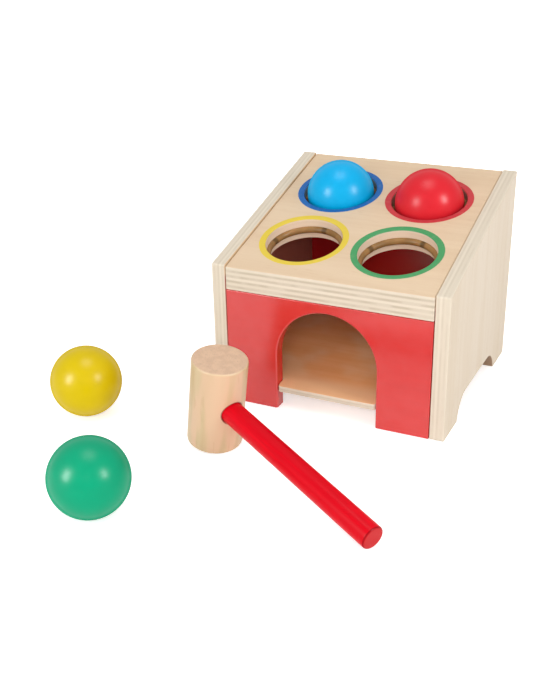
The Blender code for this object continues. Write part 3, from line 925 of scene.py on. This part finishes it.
class POUND_OT_top_board(Undoable, Operator):
    """Make the sloping board, with its ball holes, ring seats and printed rings"""

    bl_idname = "pounding_cube.top_board"
    bl_label = "Top board"

    def execute(self, context):
        box, holes = context.scene.pounding_box, context.scene.pounding_holes
        bm = self.plate(box, holes)
        round_edges(bm, box.fine_round, FINE)
        self.cut_seats(bm, holes)
        place(bm, box.board_place)
        bm = carved(bm, dowel_holes(box))
        finished("board", bm, self.wood(context.scene), "box", "top_board")
        return {"FINISHED"}

    def plate(self, box, holes):
        """A pierced plate in the board's own frame, sawn upright at the front and back."""
        half, run = box.inside_half - GAP, box.board_run
        low, high = -SAW_SPARE, run + SAW_SPARE
        bm = bmesh.new()
        corners = ((-half, low), (half, low), (half, high), (-half, high))
        first, last = chain(bm, [(x, y, 0) for x, y in corners])
        bm.edges.new((last, first))
        for across, up in holes.places().values():
            middle = Matrix.Translation((across, up, 0))
            bmesh.ops.create_circle(
                bm, cap_ends=False, radius=holes.radius, segments=ROUND_STEPS, matrix=middle
            )
        bmesh.ops.triangle_fill(bm, use_beauty=True, use_dissolve=False, edges=bm.edges[:])
        thicken(bm, (0, 0, -box.board_thickness))
        level = Vector((0, math.cos(box.slope), -math.sin(box.slope)))
        trim(bm, (0, 0, 0), -level)
        trim(bm, (0, run, 0), level)
        return bm

    def cut_seats(self, bm, holes):
        """Turns a groove in the wall of each hole for its ring."""
        upright = [face for face in bm.faces if abs(face.normal.z) < UPRIGHT]
        walls = [face for face in upright if self.hole_of(face.calc_center_median(), holes)]
        half = holes.seat_height / 2
        for height in (half, -half):
            geom = set(walls)
            for face in walls:
                geom.update(face.edges)
                geom.update(face.verts)
            cut = saw(bm, list(geom), (0, 0, height - holes.ring_depth), Z_AXIS)
            walls = [item for item in cut["geom"] if isinstance(item, bmesh.types.BMFace)]
        depths = [(face, face.calc_center_median().z + holes.ring_depth) for face in walls]
        seats = [face for face, off in depths if abs(off) < half]
        moved = verts_in(bmesh.ops.extrude_face_region(bm, geom=seats)["geom"])
        wider = holes.seat_radius / holes.radius
        for colour_name, (across, up) in holes.places().items():
            verts = [vert for vert in moved if self.hole_of(vert.co, holes) == colour_name]
            if not verts:
                raise RuntimeError(f"the {colour_name} hole has no wall to cut a seat in")
            about = Matrix.Translation((-across, -up, 0))
            bmesh.ops.scale(bm, vec=(wider, wider, 1), space=about, verts=verts)
        bmesh.ops.recalc_face_normals(bm, faces=bm.faces)

    def hole_of(self, point, holes):
        """The colour of the hole that a point is in or on, or None."""
        for colour_name, at in holes.places().items():
            if (point.to_2d() - Vector(at)).length < holes.radius + NEAR_WALL:
                return colour_name
        return None

    def wood(self, scene):
        box, holes = scene.pounding_box, scene.pounding_holes
        woods, paints = scene.pounding_woods, scene.pounding_paints

        def finish(n, vector, depth, edge, shade):
            """Painted light on the hole walls, painted shade and reflection by a ball, and printed
            rings.
            """
            in_hole = n.between(depth, 0.0003, 0.0009, 0.0, 0.8)
            on_top = n.between(depth, 0.0006, 0.0003)
            thin = n.between(n.noise(vector, 260, 3), 0.25, 0.5, 0.95, 1.0)
            print_cover = n.times(on_top, thin)
            for colour_name, at in holes.places().items():
                hole = {"vector": vector, "centre": (*at, 0)}
                # Painted light on an open hole's wall; where a ball sits, painted shade and the
                # ball's painted reflection
                wall_light_and_shade = woods.hole_wall
                if colour_name in FILLED:
                    ball = getattr(paints, f"{colour_name}_ball")
                    wall_light_and_shade = [WALL_SHADE_SHARE * a + BALL_REFLECTION_SHARE * b for a, b in zip(wall_light_and_shade, ball)]
                wall = n.effect(printed_ring, radius=holes.seat_radius + GAP, **hole)
                shade = n.mix(n.times(wall["Mask"], in_hole), shade, wall_light_and_shade)
                ring = n.effect(printed_ring, radius=holes.paint_radius, **hole)
                cover = n.times(ring["Mask"], print_cover)
                shade = n.mix(cover, shade, getattr(paints, f"{colour_name}_ring"))
            return shade

        return plywood("board", box.board_place, finish)


class POUND_OT_painted_panels(Undoable, Operator):
    """Make the red front with its arch, and the red back"""

    bl_idname = "pounding_cube.painted_panels"
    bl_label = "Painted panels"

    def execute(self, context):
        box, paints = context.scene.pounding_box, context.scene.pounding_paints
        paint = satin_paint("panel paint", paints.panel, paints.panel_inside)
        half, tall = box.inside_half - GAP, box.back_height
        outline = [(half, 0, 0), (half, 0, tall), (-half, 0, tall), (-half, 0, 0)]

        front = bmesh.new()
        arch, spring = box.arch_half_width, box.arch_height - box.arch_half_width
        first, vert = chain(front, [*outline, (-arch, 0, 0), (-arch, 0, spring)])
        vert = arc_to(front, vert, (0, 0, spring), Y_AXIS, math.pi, ARCH_STEPS)
        fill(front, line_to(front, vert, (arch, 0, 0)), first)
        thicken(front, (0, box.panel_thickness, 0))

        def on_arch(edge):
            within = all(abs(end.x) < arch + TOUCH for end in ends(edge))
            return within and not both_at(edge, 2, 0)

        round_edges(front, box.arch_round, SANDED, on_arch)
        self.finish_panel(front, box, -box.depth / 2, "front", paint)

        back = bmesh.new()
        first, vert = chain(back, outline)
        fill(back, vert, first)
        thicken(back, (0, box.panel_thickness, 0))
        self.finish_panel(back, box, box.depth / 2 - box.panel_thickness, "back", paint)
        return {"FINISHED"}

    def finish_panel(self, bm, box, start, name, paint):
        """Puts a panel at its place from front to back, and saws it to the board's slope."""
        place(bm, BOX_PLACE @ Matrix.Translation((0, start, 0)))
        under = box.board_place @ Vector((0, 0, -box.board_thickness))
        under.z -= GAP
        trim(bm, under, box.board_place.to_3x3() @ Z_AXIS)
        round_edges(bm, box.panel_round, HAIR)
        bm = carved(bm, dowel_holes(box))
        finished(f"panel_{name}", bm, paint, "box", f"{name}_panel")


class POUND_OT_floor(Undoable, Operator):
    """Make the thin floor that the balls roll out on"""

    bl_idname = "pounding_cube.floor"
    bl_label = "Floor"

    def execute(self, context):
        box, woods = context.scene.pounding_box, context.scene.pounding_woods

        def finish(n, vector, depth, edge, shade):
            """Painted light: paler on the tongue's front and in blotches of light from the holes.
            """
            panel = box.panel_thickness
            # Painted light: paler at the tongue's front, where light comes in through the arch, and
            # in blotches that stand for light falling through the holes
            lightened = n.between(n.parts(vector)[1], 2.5 * panel, panel, 0.0, 0.8)
            hole_light_patch = n.between(n.noise(vector, 24, 2), 0.44, 0.62, 0.0, 0.6)
            lightening = n.times(n.math("MAXIMUM", lightened, hole_light_patch), edge["Face"])
            return n.mix(lightening, shade, woods.floor_worn)

        wood = plywood("floor", box.floor_place, finish)
        finished("floor", self.plate(box), wood, "box", "floor_panel")
        return {"FINISHED"}

    def plate(self, box):
        """A plate that reaches into both sides' grooves, with a tongue in the arch."""
        tongue = box.arch_half_width - GAP
        side = box.inside_half + box.groove_depth - GAP
        flat, lean = math.cos(box.floor_slope), math.sin(box.floor_slope)
        start = (box.panel_thickness + GAP) / flat
        inside_end = box.depth - box.panel_thickness - GAP
        end = (inside_end - box.floor_thickness * lean) / flat
        right = [(tongue, 0), (tongue, start), (side, start), (side, end)]
        left = [(-x, y) for x, y in reversed(right)]
        bm = bmesh.new()
        first, last = chain(bm, [(x, y, 0) for x, y in (left[-1], *right, *left[:-1])])
        fill(bm, last, first)
        thicken(bm, (0, 0, -box.floor_thickness))

        def on_tongue_corner(edge):
            one, other = ends(edge)
            return both_at(edge, 1, 0) and abs(one.x - other.x) < TOUCH

        def on_tongue(edge):
            return all(end.y < TONGUE_REACH * box.tongue_round for end in ends(edge))

        round_edges(bm, box.tongue_round, EASED, on_tongue_corner)
        round_edges(bm, box.fine_round, FINE, on_tongue)
        place(bm, box.floor_place)
        return bm


class POUND_OT_elastic_rings(Undoable, Operator):
    """Make the soft rings that hold the balls in their holes"""

    bl_idname = "pounding_cube.elastic_rings"
    bl_label = "Elastic rings"

    def execute(self, context):
        box, holes = context.scene.pounding_box, context.scene.pounding_holes
        amber = context.scene.pounding_paints.amber
        for colour_name, (across, up) in holes.places().items():
            bm = self.band(holes)
            middle = box.board_place @ Matrix.Translation((across, up, -holes.ring_depth))
            place(bm, middle)
            turned = middle @ Matrix.Rotation(math.radians(SPOT_TURNS[colour_name]), 4, "Z")
            rubber = amber_rubber(f"{colour_name} ring rubber", amber, turned)
            node = f"{colour_name}_ring"
            finished(f"ring_{colour_name}", bm, rubber, "box", node)
        return {"FINISHED"}

    def band(self, holes):
        """A ring with a round bead inside, about its own middle."""
        inner, outer, half = holes.ring_inner, holes.seat_radius - GAP, holes.ring_height / 2
        section = [(inner, 0, -half), (outer, 0, -half), (outer, 0, half), (inner, 0, half)]
        bm = bmesh.new()
        first, last = chain(bm, section)
        bm.edges.new((last, first))
        bmesh.ops.spin(
            bm,
            geom=bm.verts[:] + bm.edges[:],
            cent=(0, 0, 0),
            axis=Z_AXIS,
            angle=math.tau,
            steps=ROUND_STEPS,
            use_merge=True,
        )
        bmesh.ops.remove_doubles(bm, verts=bm.verts, dist=TOUCH)
        bmesh.ops.recalc_face_normals(bm, faces=bm.faces)

        def on_inside(edge):
            return all(end.to_2d().length < (inner + outer) / 2 for end in ends(edge))

        round_edges(bm, half * BEAD_SHARE, BEAD, on_inside)
        round_edges(bm, GAP, HAIR, lambda edge: not on_inside(edge))
        return bm


class POUND_OT_balls(Undoable, Operator):
    """Make the four lacquered balls, each with the pin mark of its drying rack"""

    bl_idname = "pounding_cube.balls"
    bl_label = "Balls"

    def execute(self, context):
        away = PIN_SIDE.to_track_quat("Z", "Y").to_matrix().to_4x4()
        for colour_name in COLOURS:
            node = f"{colour_name}_ball"
            low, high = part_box(node)
            bm = bmesh.new()
            bmesh.ops.create_uvsphere(
                bm, u_segments=ROUND_STEPS, v_segments=ROUND_STEPS // 2, radius=(high.z - low.z) / 2
            )
            pin = max(bm.verts, key=lambda vert: vert.co.z)
            bmesh.ops.translate(bm, verts=[pin], vec=(0, 0, -PIN_DEPTH))
            place(bm, Matrix.Translation((low + high) / 2) @ away)
            paint = getattr(context.scene.pounding_paints, node)
            lacquer = gloss_lacquer(f"{colour_name} lacquer", paint)
            finished(f"ball_{colour_name}", bm, lacquer, node, node)
        return {"FINISHED"}


class POUND_OT_hammer(Undoable, Operator):
    """Make the hammer's turned head and its lacquered handle"""

    bl_idname = "pounding_cube.hammer"
    bl_label = "Hammer"

    def execute(self, context):
        hammer = context.scene.pounding_hammer
        middle = Matrix.Translation((0, 0, hammer.head_length / 2))
        along = hammer.place @ middle @ LYING
        radius, beyond = hammer.handle_radius, hammer.handle_beyond

        head = self.rod(hammer.head_radius, 0, hammer.head_length)
        round_edges(head, hammer.ease, EASED)
        place(head, hammer.place)
        bore = self.rod(radius + GAP, -beyond - GAP, 2 * hammer.head_radius)
        place(bore, along)
        head = carved(head, bore)
        back = along.inverted()

        def on_mouth(edge):
            points = [back @ end for end in ends(edge)]
            return all(point.to_2d().length < radius + 2 * GAP and point.z > 0 for point in points)

        round_edges(head, hammer.bore_round, FINE, on_mouth)
        wood = turned_wood("head hardwood", context.scene.pounding_woods, hammer)
        finished("hammer_block", head, wood, "hammer", "hammer_head")

        handle = self.rod(radius, -beyond, hammer.handle_reach)
        round_edges(handle, hammer.ease, EASED)
        place(handle, along)
        lacquer = handle_lacquer("handle lacquer", context.scene.pounding_paints, hammer)
        finished("hammer_rod", handle, lacquer, "hammer", "hammer_handle")
        return {"FINISHED"}

    def rod(self, radius, low, high):
        """A plain rod up Z between two heights."""
        bm = bmesh.new()
        middle = Matrix.Translation((0, 0, (low + high) / 2))
        add_rod(bm, radius, high - low, ROUND_STEPS, middle)
        return bm


class POUND_OT_dowels(Undoable, Operator):
    """Finish the hidden dowels, whose solids stay as they are"""

    bl_idname = "pounding_cube.dowels"
    bl_label = "Dowels"

    def execute(self, context):
        wood = dowel_wood("dowel wood", context.scene.pounding_woods.dowel)
        for name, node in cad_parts.items():
            if name.startswith("dowel_"):
                node.data.materials.clear()
                node.data.materials.append(wood)
        return {"FINISHED"}


class POUND_OT_stage(Undoable, Operator):
    """Set up the floor, the white room, the lamps and the camera"""

    bl_idname = "pounding_cube.stage"
    bl_label = "Stage"

    def execute(self, context):
        stage = context.scene.pounding_stage
        context.scene.view_settings.view_transform = "Standard"
        self.add_floor(stage)
        self.add_room(context.scene, stage)
        for name, (at, size) in {**LAMPS, **GLINTS}.items():
            self.add_lamp(name, at, size, getattr(stage, name))
        self.add_camera(context.scene, stage)
        return {"FINISHED"}

    def seen(self, n):
        """1 for rays that show the backdrop: from the camera, or by way of gloss or glass."""
        path = n.add("LightPath").outputs
        shown = n.math("ADD", path["Is Camera Ray"], path["Is Glossy Ray"])
        return n.math("MINIMUM", n.math("ADD", shown, path["Is Transmission Ray"]), 1.0)

    def add_floor(self, stage):
        """A wide floor that whitens away from the object, whose shadow it keeps."""
        bm = bmesh.new()
        bmesh.ops.create_circle(bm, cap_ends=True, radius=STUDIO_RADIUS, segments=ROUND_STEPS)
        place(bm, Matrix.Translation((0, 0, -GAP)))
        floor = linked("studio_floor", bm)
        material, n, shader = new_material("studio floor", Roughness=0.9)
        n.feed(shader["Base Color"], stage.floor)
        lift = n.between(n.vector("LENGTH", n.local()), SHADOW_NEAR, SHADOW_FAR, FLOOR_GLOW, 1.0)
        n.feed(shader["Emission Color"], WHITE)
        n.feed(shader["Emission Strength"], n.times(lift, self.seen(n)))
        floor.data.materials.append(material)

    def add_room(self, scene, stage):
        world = bpy.data.worlds.new("white room")
        world.use_nodes = True
        n = Nodes(world.node_tree)
        light = n.add("Background", {"Color": WHITE, "Strength": stage.room})
        shown = n.add("Background", {"Color": WHITE, "Strength": 1.0})
        both = n.add("MixShader", {0: self.seen(n), 1: light.outputs[0], 2: shown.outputs[0]})
        n.add("OutputWorld", {0: both.outputs[0]})
        scene.world = world

    def add_lamp(self, name, at, size, power):
        """A soft box that faces the object, and either lights it or shows in its gloss."""
        lamp = bpy.data.lights.new(name, "AREA")
        lamp.shape = "RECTANGLE"
        lamp.size, lamp.size_y = size
        lamp.energy = power
        obj = bpy.data.objects.new(name, lamp)
        obj.location = at
        obj.rotation_euler = (obj.location - LAMP_AIM).to_track_quat("Z", "Y").to_euler()
        obj.visible_camera = False
        obj.visible_diffuse = name in LAMPS
        obj.visible_glossy = name in GLINTS
        bpy.context.scene.collection.objects.link(obj)

    def add_camera(self, scene, stage):
        data = bpy.data.cameras.new("camera")
        data.lens = stage.lens
        data.clip_start = NEAR_CLIP
        camera = bpy.data.objects.new("camera", data)
        turn = Matrix.Rotation(stage.azimuth, 4, "Z")
        turn = turn @ Matrix.Rotation(math.pi / 2 - stage.elevation, 4, "X")
        turn = turn @ Matrix.Rotation(stage.roll, 4, "Z")
        camera.matrix_world = Matrix.Translation(BOX_MIDDLE + stage.camera_place) @ turn
        scene.collection.objects.link(camera)
        scene.camera = camera


class POUND_PT_panel(Panel):
    """The pieces of the pounding cube, and their sizes and colours"""

    bl_label = "Pounding cube"
    bl_idname = "POUND_PT_panel"
    bl_space_type = "VIEW_3D"
    bl_region_type = "UI"
    bl_category = "Pounding cube"

    def draw(self, context):
        for operator in OPERATORS:
            self.layout.operator(operator.bl_idname)
        for name in GROUPS:
            group = getattr(context.scene, name)
            column = self.layout.column(align=True)
            column.label(text=name.replace("_", " ").capitalize())
            for key in group.__annotations__:
                column.prop(group, key)


GROUPS = {
    "pounding_box": BoxSizes,
    "pounding_holes": HoleSizes,
    "pounding_hammer": HammerSizes,
    "pounding_woods": WoodColours,
    "pounding_paints": PaintColours,
    "pounding_stage": StageSettings,
}
OPERATORS = (
    POUND_OT_stage,
    POUND_OT_side_panels,
    POUND_OT_top_board,
    POUND_OT_painted_panels,
    POUND_OT_floor,
    POUND_OT_elastic_rings,
    POUND_OT_balls,
    POUND_OT_hammer,
    POUND_OT_dowels,
)


def register():
    for kind in (*GROUPS.values(), *OPERATORS, POUND_PT_panel):
        bpy.utils.register_class(kind)
    for name, group in GROUPS.items():
        setattr(bpy.types.Scene, name, PointerProperty(type=group))


def unregister():
    for name in GROUPS:
        delattr(bpy.types.Scene, name)
    for kind in (POUND_PT_panel, *reversed(OPERATORS), *reversed(GROUPS.values())):
        bpy.utils.unregister_class(kind)


def main():
    register()
    for operator in OPERATORS:
        group, name = operator.bl_idname.split(".")
        getattr(getattr(bpy.ops, group), name)()


if __name__ == "__main__":
    main()
